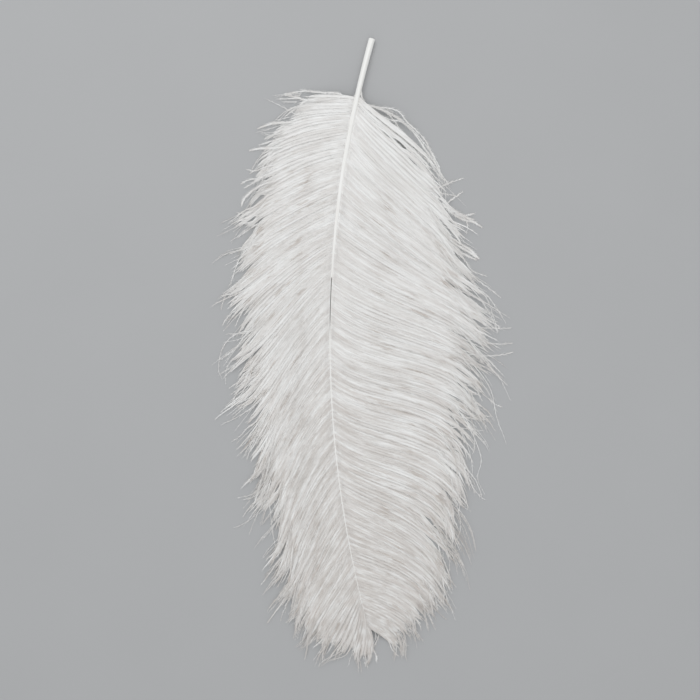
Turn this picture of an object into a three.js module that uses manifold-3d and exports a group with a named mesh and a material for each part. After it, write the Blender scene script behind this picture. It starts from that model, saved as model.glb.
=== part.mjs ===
// A white ostrich plume, 635 mm long, lying flat with its best side up.
// Millimetres, +Z up. +Y runs along the feather towards the quill's cut end, and +X is to the right
// as one looks down on it. The origin is under the middle of its bounding box, on the surface it lies on.
//
// A bare quill tapers into a rachis that bows gently to the left. Barbs grow from both sides of it and
// gather into pointed locks, each lying a little over the next one towards the tip.
import * as THREE from "three";
import { mergeVertices } from "three/addons/utils/BufferGeometryUtils.js";
import Module from "manifold-3d";

const wasm = await Module();
wasm.setup();

// The shaft, from its cut end down to the tip of the rachis
const QUILL_END_Y = 316.5;
const VANE_START_Y = 257;
const RACHIS_TIP_Y = -278;
const BOW_MIDDLE = { x: -20.2, y: 12 };
const BOW_RADIUS = 1094;
const QUILL_RADIUS = 3.3;
const RACHIS_RADIUS = 2.7;
const RACHIS_TIP_RADIUS = 0.7;
const ARCH_HEIGHT = 13.5;
const SHAFT_SIDES = 10;
const SHAFT_STATIONS = 24;

// The vanes. A row gives the place along the rachis as a share of the vane, the barbs' length in mm, and
// how far they point below straight out, in degrees, at the root, halfway along and at the tip.
const LEFT_BARBS = [
  [0.0, 74, -8, 0, 20],
  [0.05, 99, 7, 16, 44],
  [0.15, 116, 18, 28, 43],
  [0.25, 124, 28, 34, 42],
  [0.35, 140, 40, 54, 48],
  [0.45, 150, 47, 62, 59],
  [0.55, 140, 48, 62, 61],
  [0.65, 132, 46, 66, 66],
  [0.75, 124, 52, 68, 63],
  [0.85, 98, 58, 60, 58],
  [0.93, 76, 56, 60, 64],
  [1.0, 42, 85, 86, 88],
];
const RIGHT_BARBS = [
  [0.0, 124, 32, 32, 72],
  [0.05, 148, 54, 42, 52],
  [0.15, 174, 46, 38, 46],
  [0.25, 184, 38, 30, 44],
  [0.35, 184, 40, 20, 44],
  [0.45, 177, 40, 16, 45],
  [0.55, 165, 38, 19, 52],
  [0.65, 153, 37, 24, 56],
  [0.75, 136, 32, 36, 58],
  [0.85, 105, 20, 32, 50],
  [0.93, 70, 20, 28, 52],
  [1.0, 36, 45, 52, 62],
];
const LOCKS_PER_VANE = 32;
const LOCK_STATIONS = 7;
const LOCK_OVERLAP = 1.4; // a lock's width at the root, in spacings between locks
const LENGTH_VARIES = 0.08;
const TIP_STRAYS = 9; // degrees that a lock's tip may turn from its neighbours
const SHAFT_GAP = 0.35;
const ROOT_THICKNESS = 3.2;
const TIP_THICKNESS = 0.7;
const PINCH_POWER = 6; // how late a lock narrows to its point
const PUFF = 2.2; // how far a vane swells above the height of the rachis
const SHINGLE = 0.9; // how far a lock's lower edge stands above its upper edge
const LANDS_AT = 0.7; // the share of its length at which a lock comes down to the surface
const PATH_STEPS = 28;
const WELD = 1e-4;
const SLIVER = 0.2; // edges shorter than this, left where locks cross, are merged

// Single barbs that stray past the locks' tips. Each course is in plan, from inside the vane to the tip.
const LEFT_STRAYS = [
  [[-92, -49], [-106, -61], [-118, -68], [-131, -74]],
];
const RIGHT_STRAYS = [
  [[112, 78], [127, 65], [143, 52], [157, 31]],
  [[119, 28], [133, 25], [148, 24], [160, 24]],
  [[121, 12], [135, 10], [150, 8], [164, 9]],
  [[120, -2], [137, -4], [151, -3], [162, 0]],
];
const STRAY_RADIUS = 0.8;
const STRAY_TAPER = 0.6;
const STRAY_SIDES = 5;
const STRAY_STATIONS = 5;

// A lock's section, from its upper edge round to its flat underside: across in half widths, crown in half
// thicknesses, and lift in shares of SHINGLE.
const LOCK_SECTION = [
  { across: -1, crown: 0, lift: -1 },
  { across: 0, crown: 0.9, lift: 0 },
  { across: 0.6, crown: 1, lift: 0.6 },
  { across: 1, crown: 0.25, lift: 1 },
  { across: 0.5, crown: -1, lift: 0 },
  { across: -0.5, crown: -1, lift: 0 },
];

const { lerp, clamp, smoothstep, degToRad } = THREE.MathUtils;

// A repeatable scatter from -1 to 1, one value for each lock of each side.
function scatter(index, salt) {
  const wave = Math.sin(index * 12.9898 + salt * 78.233) * 43758.5453;
  return 2 * (wave - Math.floor(wave)) - 1;
}

// The centre of the shaft at a height along Y: a parabola to the left in plan, and an arch over the surface.
function shaftCentre(y) {
  const middle = (QUILL_END_Y + RACHIS_TIP_Y) / 2;
  const half = (QUILL_END_Y - RACHIS_TIP_Y) / 2;
  const fromMiddle = (y - middle) / half;
  return new THREE.Vector3(
    BOW_MIDDLE.x + (y - BOW_MIDDLE.y) ** 2 / (2 * BOW_RADIUS),
    y,
    lerp(ARCH_HEIGHT, QUILL_RADIUS, fromMiddle ** 2),
  );
}

// The shaft's radius: nearly even along the bare quill, then a straight taper down the rachis.
function shaftRadius(y) {
  if (y > VANE_START_Y) {
    const along = (QUILL_END_Y - y) / (QUILL_END_Y - VANE_START_Y);
    return lerp(QUILL_RADIUS, RACHIS_RADIUS, along);
  }
  const along = (VANE_START_Y - y) / (VANE_START_Y - RACHIS_TIP_Y);
  return lerp(RACHIS_RADIUS, RACHIS_TIP_RADIUS, along);
}

// A closed skin over rings of points. The last ring may be a single point, which closes that end as a tip.
function loft(rings) {
  const sides = rings[0].length;
  const faces = [];
  for (let r = 0; r + 1 < rings.length; r++) {
    const isTip = rings[r + 1].length === 1;
    const [start, nextStart] = [r * sides, (r + 1) * sides];
    for (let k = 0; k < sides; k++) {
      const next = (k + 1) % sides;
      faces.push(start + k, start + next, nextStart + (isTip ? 0 : k));
      if (!isTip) faces.push(start + next, nextStart + next, nextStart + k);
    }
  }
  const lastStart = (rings.length - 1) * sides;
  const lastSides = rings.at(-1).length;
  for (let k = 1; k + 1 < sides; k++) faces.push(0, k + 1, k);
  for (let k = 1; k + 1 < lastSides; k++) faces.push(lastStart, lastStart + k, lastStart + k + 1);
  const positions = rings.flat().flatMap((point) => point.toArray());
  const geometry = new THREE.BufferGeometry();
  geometry.setAttribute("position", new THREE.Float32BufferAttribute(positions, 3));
  geometry.setIndex(faces);
  return geometry;
}

// A round ring of points about a centre, square across the way along.
function ringAcross(centre, along, radius, sides) {
  const across = new THREE.Vector3(0, 0, 1).cross(along).normalize();
  const up = along.clone().cross(across);
  const ring = [];
  for (let k = 0; k < sides; k++) {
    const turn = (2 * Math.PI * (k + 0.5)) / sides;
    const point = centre.clone();
    point.addScaledVector(across, radius * Math.cos(turn));
    point.addScaledVector(up, radius * Math.sin(turn));
    ring.push(point);
  }
  return ring;
}

// The quill and rachis: round rings square across the shaft, evenly spaced along Y.
function shaftGeometry() {
  const rings = [];
  for (let s = 0; s < SHAFT_STATIONS; s++) {
    const y = lerp(QUILL_END_Y, RACHIS_TIP_Y, s / (SHAFT_STATIONS - 1));
    const along = shaftCentre(y - 1).sub(shaftCentre(y + 1)).normalize();
    rings.push(ringAcross(shaftCentre(y), along, shaftRadius(y), SHAFT_SIDES));
  }
  return loft(rings);
}

// A stray barb: a thin blade along a smooth course, lying on the surface and thinning to a point.
function strayGeometry(course) {
  const curve = new THREE.CatmullRomCurve3(course.map(([x, y]) => new THREE.Vector3(x, y, 0)));
  const rings = [];
  for (let s = 0; s <= STRAY_STATIONS; s++) {
    const t = s / STRAY_STATIONS;
    const radius = STRAY_RADIUS * (1 - STRAY_TAPER * t);
    const centre = curve.getPointAt(t);
    centre.z = radius;
    const isTip = s === STRAY_STATIONS;
    rings.push(isTip ? [centre] : ringAcross(centre, curve.getTangentAt(t), radius, STRAY_SIDES));
  }
  return loft(rings);
}

// One row of a barb table, interpolated at a place along the rachis from 0 to 1.
function barbsAt(table, place) {
  const upper = Math.max(1, table.findIndex((row) => row[0] >= place));
  const [from, to] = [table[upper - 1], table[upper]];
  const share = (place - from[0]) / (to[0] - from[0]);
  const [, length, root, middle, tip] = from.map((value, k) => lerp(value, to[k], share));
  return { length, root, middle, tip };
}

// The course of one barb as points from root to tip: it leaves the shaft's side and turns as its row says.
// All its points keep the height of its root.
function barbPath(table, side, place, length, stray) {
  const { root, middle, tip } = barbsAt(table, place);
  const y = lerp(VANE_START_Y, RACHIS_TIP_Y, place);
  const point = shaftCentre(y);
  point.x += side * (shaftRadius(y) + SHAFT_GAP);
  const path = [point.clone()];
  for (let step = 0; step < PATH_STEPS; step++) {
    const t = (step + 0.5) / PATH_STEPS;
    const bend = root * (1 - t) * (1 - 2 * t) + middle * 4 * t * (1 - t) + tip * t * (2 * t - 1);
    const turn = degToRad(bend + stray * t ** 2);
    point.x += (side * Math.cos(turn) * length) / PATH_STEPS;
    point.y -= (Math.sin(turn) * length) / PATH_STEPS;
    path.push(point.clone());
  }
  return path;
}

// A lock: a strip of neighbouring barbs, pinched to a point at the tip, highest near the rachis and
// lying on the surface along its outer part.
function lockGeometry(table, side, index) {
  const spacing = 1 / (LOCKS_PER_VANE - 1);
  const place = index * spacing;
  const halfWidth = (LOCK_OVERLAP * spacing) / 2;
  const lengthened = 1 + LENGTH_VARIES * scatter(index, side);
  const length = barbsAt(table, place).length * lengthened;
  const stray = TIP_STRAYS * scatter(index, side + 5);
  const rings = [];
  for (let s = 0; s <= LOCK_STATIONS; s++) {
    const t = s / LOCK_STATIONS;
    const pinch = 1 - t ** PINCH_POWER;
    const thickness = lerp(ROOT_THICKNESS, TIP_THICKNESS, t);
    const ring = LOCK_SECTION.map(({ across, crown, lift }) => {
      const barbPlace = clamp(place + across * halfWidth * pinch, 0, 1);
      const path = barbPath(table, side, barbPlace, length, stray);
      const point = path[Math.round(t * PATH_STEPS)];
      const swelled = point.z + PUFF * Math.sin(Math.PI * t);
      const height = lerp(swelled, thickness / 2, smoothstep(t, 0, LANDS_AT));
      point.z = Math.max(0, height + (crown * thickness) / 2 + lift * SHINGLE * pinch);
      return point;
    });
    rings.push(s < LOCK_STATIONS ? ring : [ring[0]]);
  }
  if (side < 0) rings.forEach((ring) => ring.reverse());
  return loft(rings);
}

// A closed geometry as a manifold-3d solid.
function solid(geometry) {
  const merged = mergeVertices(geometry, WELD);
  return new wasm.Manifold(
    new wasm.Mesh({
      numProp: 3,
      vertProperties: new Float32Array(merged.attributes.position.array),
      triVerts: new Uint32Array(merged.index.array),
    }),
  );
}

// A manifold-3d solid as a three.js geometry.
function geometryOf(manifold) {
  const mesh = manifold.getMesh();
  const geometry = new THREE.BufferGeometry();
  geometry.setAttribute("position", new THREE.BufferAttribute(mesh.vertProperties, 3));
  geometry.setIndex(new THREE.BufferAttribute(mesh.triVerts, 1));
  geometry.computeVertexNormals();
  return geometry;
}

// A vane: all the locks and stray barbs of one side, joined where they overlap.
function vaneGeometry(table, side, strays) {
  let vane = solid(lockGeometry(table, side, 0));
  for (let index = 1; index < LOCKS_PER_VANE; index++) {
    vane = vane.add(solid(lockGeometry(table, side, index)));
  }
  for (const course of strays) vane = vane.add(solid(strayGeometry(course)));
  return geometryOf(vane.simplify(SLIVER));
}

function namedMesh(name, geometry, colour, roughness) {
  const material = new THREE.MeshStandardMaterial({ color: colour, roughness, metalness: 0 });
  const mesh = new THREE.Mesh(geometry, material);
  mesh.name = name;
  return mesh;
}

const feather = new THREE.Group();
feather.add(
  namedMesh("shaft", shaftGeometry(), 0xece9e2, 0.42),
  namedMesh("left_vane", vaneGeometry(LEFT_BARBS, -1, LEFT_STRAYS), 0xe6e4df, 0.85),
  namedMesh("right_vane", vaneGeometry(RIGHT_BARBS, 1, RIGHT_STRAYS), 0xe6e4df, 0.85),
);

const box = new THREE.Box3().setFromObject(feather, true);
feather.position.set(-(box.min.x + box.max.x) / 2, -(box.min.y + box.max.y) / 2, -box.min.z);

export default feather;
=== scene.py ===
# A white ostrich plume lying flat on a pale floor: its quill and rachis, two vanes of barbs with their
# barbules, and the loose barbs that stray from its edges.
import math

import bpy
import numpy as np
from bpy.props import FloatProperty, FloatVectorProperty, IntProperty, PointerProperty
from bpy.types import Operator, Panel, PropertyGroup
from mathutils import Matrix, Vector


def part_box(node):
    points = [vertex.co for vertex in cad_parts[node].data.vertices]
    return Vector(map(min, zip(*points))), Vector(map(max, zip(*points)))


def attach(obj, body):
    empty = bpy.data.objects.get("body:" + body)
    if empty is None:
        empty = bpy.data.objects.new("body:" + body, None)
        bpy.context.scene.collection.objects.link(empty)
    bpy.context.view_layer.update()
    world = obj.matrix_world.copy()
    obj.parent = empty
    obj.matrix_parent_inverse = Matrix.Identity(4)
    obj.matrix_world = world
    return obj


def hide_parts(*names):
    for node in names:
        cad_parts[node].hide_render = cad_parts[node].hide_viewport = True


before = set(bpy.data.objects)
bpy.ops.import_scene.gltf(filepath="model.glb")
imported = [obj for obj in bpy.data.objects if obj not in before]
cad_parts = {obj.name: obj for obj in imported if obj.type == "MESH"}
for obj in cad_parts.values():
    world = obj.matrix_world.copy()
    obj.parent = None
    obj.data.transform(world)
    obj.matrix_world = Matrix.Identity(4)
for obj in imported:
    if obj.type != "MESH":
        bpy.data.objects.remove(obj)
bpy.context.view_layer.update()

bl_info = {
    "name": "Ostrich plume",
    "version": (1, 0, 0),
    "blender": (4, 5, 0),
    "location": "3D View > Sidebar > Plume",
    "description": "Builds a white ostrich plume lying flat, barb by barb",
    "category": "Add Mesh",
}

MM = 0.001
BODY = "root"
UP = (0.0, 0.0, 1.0)
UNROLLED = "OFBake"
BARB_FINISH = "bleached_keratin_down"

# The shaft in plan, in millimetres, with +Y towards the cut end of the quill. It bows as a parabola in
# plan and arches over the surface.
QUILL_END_Y = 316.5
VANE_START_Y = 257
RACHIS_TIP_Y = -278
BOW_MIDDLE_X = -20.2
BOW_MIDDLE_Y = 12
BOW_RADIUS = 1094
QUILL_RADIUS = 3.3
RACHIS_RADIUS = 2.7
RACHIS_TIP_RADIUS = 0.7
ARCH_HEIGHT = 13.5
SOLID_STATIONS = 24
SOLID_SIDES = 10

# The visible shaft: its steps, the wall of its hollow end as a share of the radius, the depth of the hollow
# and the rounding of its rim, in mm. In the vane it has a groove beneath, given by its depth as a share of
# the radius, its spread in radians and where it begins and is full, in mm below the vane's start. It is
# flatter there by a share, and ends in a point past the rachis's tip, in mm.
SHAFT_SIDES = 48
SHAFT_STATIONS = 320
HOLLOW_STATIONS = 6
RIM_STATIONS = 9
QUILL_WALL = 0.22
HOLLOW_DEPTH = 7.0
RIM_ROUND = 0.45
GROOVE_DEPTH = 0.22
GROOVE_SPREAD = 0.35
GROOVE_FADE = (-4, 30)
FLATTER_IN_VANE = 0.06
POINT_PAST_TIP = 1.5

# The barbs of each side. A row gives the place along the rachis as a share of the vane, the barbs' length
# in mm, and how far they point below straight out, in degrees, at the root, halfway along and at the tip.
LEFT_BARBS = [
    (0.0, 76, -8, 0, 20),
    (0.05, 103, 7, 16, 44),
    (0.15, 117, 18, 28, 43),
    (0.25, 134, 28, 34, 42),
    (0.35, 149, 40, 54, 48),
    (0.45, 157, 47, 62, 59),
    (0.54, 149, 48, 62, 61),
    (0.59, 131, 47, 64, 64),
    (0.65, 135, 46, 66, 66),
    (0.75, 132, 52, 68, 63),
    (0.85, 110, 58, 60, 58),
    (0.93, 81, 56, 60, 64),
    (1.0, 40, 116, 92, 74),
]
RIGHT_BARBS = [
    (0.0, 127, 45, 38, 68),
    (0.05, 156, 54, 42, 52),
    (0.15, 183, 46, 38, 46),
    (0.25, 192, 38, 30, 44),
    (0.35, 189, 40, 20, 48),
    (0.45, 182, 40, 16, 66),
    (0.55, 173, 38, 18, 82),
    (0.65, 165, 37, 22, 88),
    (0.75, 152, 32, 34, 80),
    (0.85, 121, 20, 32, 68),
    (0.93, 79, 20, 28, 58),
    (1.0, 44, 22, 45, 62),
]
SIDES = {"left": (-1, LEFT_BARBS), "right": (1, RIGHT_BARBS)}

# Where a vane's barbs part, in plan, in mm: the gap's middle, half its width and half its length. The push
# on the barbs beside it fades with their distance from its middle, over its half width times the spread.
PARTINGS = {
    "left": [
        (-93, 152, 5, 11), (-95, 134, 2, 6), (-79, -131, 2.6, 13), (-72, -138, 2, 6), (-93, -112, 1.6, 6),
        (-46, -166, 1, 8), (-50, -198, 1, 9), (-38, -180, 1, 7), (-59, -121, 1.2, 4), (-102, -14, 2.5, 8),
        (-101, -36, 2.2, 11), (-108, 14, 1.5, 6)],
    "right": [
        (115, -20, 2.5, 9), (125, -41, 3, 13), (99, -57, 2, 7), (112, -58, 2.5, 7), (121, -53, 3, 9),
        (111, -70, 1.8, 4), (102, -95, 1.8, 6), (97, -106, 2, 7), (109, -105, 2, 7), (110, -115, 2, 7),
        (107, -133, 2, 8), (110, -142, 2.5, 9), (87, -147, 1.6, 6), (66, -161, 2, 8), (81, -169, 2.8, 8),
        (71, -174, 2, 7), (90, -205, 2, 7), (99, -186, 2, 11), (66, 191, 2.2, 15), (36, 220, 1.6, 10),
        (51, 211, 2, 7)],
}
PARTING_SPREAD = 1.5

# How far the tufts at the edge lean downward on average, in degrees, and the place where the broad
# under-barbs begin: the right vane's first barbs have none, so that they part
TUFT_LEAN = {"left": 0, "right": 14}
UNDER_FROM = {"left": 0.0, "right": 0.02}

# The share of the table's length that dense barbs reach, at places along the rachis: less near the quill
# and at the tip of the plume, where the edge thins out to single barbs
EDGE_REACH = {
    "left": ((0, 0.03, 0.08, 0.8, 0.92, 1), (0.64, 0.9, 1, 1, 0.9, 0.8)),
    "right": ((0, 0.02, 0.06, 0.8, 0.92, 1), (0.86, 0.94, 1, 1, 0.92, 0.8)),
}

# How barbs gather, in strands within locks and, past the edge, in tufts: how many bundles a side has, how
# uneven they are in width, the shares of its length that a barb reaches, how far they stray in degrees,
# the shares of its length at which they begin to close and have closed, and how far they wave in mm
LOCKS = {"count": 50, "uneven": 0.55, "reach": (0.93, 1.07), "stray": 11, "opens": (0.76, 0.9),
         "closes": (1.0, 1.08), "wave": 0.5}
STRANDS = {"count": 210, "uneven": 0.6, "reach": (0.93, 1.05), "stray": 7, "opens": (0.6, 0.86),
           "closes": (0.95, 1.05), "wave": 0.3}
TUFTS = {"count": 74, "uneven": 0.7, "reach": (0.94, 1.1), "stray": 34, "opens": (0.74, 0.84),
         "closes": (0.98, 1.04), "wave": 0.6}

# How much of the way barbs close on their strand's middle, near the root and further out, and on their
# lock's middle; how much longer a hair may be; and how high, in mm, the slow waves, a strand's crown and a
# lock lift them. Drifts bend neighbouring barbs aside together, by mm.
CLOSE_EARLY = 0.3
CLOSE_LATE = 0.35
CLOSE_ON_LOCK = 0.86
HAIR_LONGER = 0.14
RIPPLE_RISE = 0.28
STRAND_RISE = 0.3
LOCK_RISE = 1.5
DRIFT = 0.8
SINES = 7

# Half the width of rachis that shows between the two vanes, at places along it, in mm. A barb's root is
# sunk in the rachis; the barb swells by the puff and lands on the surface at a share of its length, at
# the rest height, and nothing of it is lower than the lowest.
SEEN_RACHIS = ((0, 0.1, 0.19, 0.27, 0.33, 0.44, 1), (2.6, 2.2, 1.6, 1.0, 0.5, 0.35, 0.2))
ROOT_SUNK = 0.35
PUFF = 2.2
LANDS_AT = 0.7
REST_HEIGHT = 1.1
LOWEST = 0.5
UNDER_LOWEST = 0.7
UNDER_SUNK = 0.7

# The stretch of rachis, between two heights in the plan, whose crown has a dark line painted on it: painted
# shadow that stands in for the shaded gap beside the rachis
GAP_SHADOW_FROM = 20
GAP_SHADOW_TO = 76

# The grid of each vane's flow, its reach in barb lengths, and the farthest that a barb is bent aside, in mm
FLOW_PLACES = 241
FLOW_SHARES = 141
FLOW_REACH = 1.4
FARTHEST_ASIDE = 16

BARB_STATIONS = 20
UNDER_STATIONS = 13
WISP_STATIONS = 12
LOOSE_STATIONS = 30

# Barbules: half their width at the root in mm, how far they rise or dip in degrees, and, on the unrolled
# vane, their length and half their width. Then how many there are on the loose barbs and on a side's wisps.
BARBULE_HALF_WIDTH = (0.1, 0.17)
BARBULE_RISE = (-4, 5)
BARBULE_UNROLLED = 0.02
BARBULE_STRIP = 0.0008
LOOSE_BARBULES = 12000
WISP_BARBULES = 4000

# The width of loose barbs and wisps where they start, and the height of a loose barb's end, in mm
LOOSE_WIDTH = 1.0
WISP_WIDTH = 0.8
LOOSE_REST_HEIGHT = 0.8

# What the unrolled vane is taken to measure for its streaks, in mm, along a barb and along the rachis
BARB_SPAN = 190
VANE_SPAN = VANE_START_Y - RACHIS_TIP_Y

# The seeds of the random draws. What is built for a vane adds the vane's side, -1 or 1.
SEEDS = {"vane": 41, "barbs": 100, "under_barbs": 200, "barbules": 300, "loose": 400, "wisps": 500}

# The stage: the floor's side in m, the picture's width and middle and the camera's sensor in mm, each
# light's place from the middle and its size in m, and the colour of the surroundings
FLOOR_SIZE = 40.0
PICTURE_WIDTH = 705.6
PICTURE_MIDDLE = np.array([0.0, 2.0, 8.0])
SENSOR = 36.0
KEY_PLACE = (-0.45, 0.95, 1.25)
KEY_SIZE = 0.9
TOP_PLACE = (0.3, -0.1, 1.9)
TOP_SIZE = 1.6
SURROUNDINGS = (0.98, 0.99, 1.0, 1)

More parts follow.
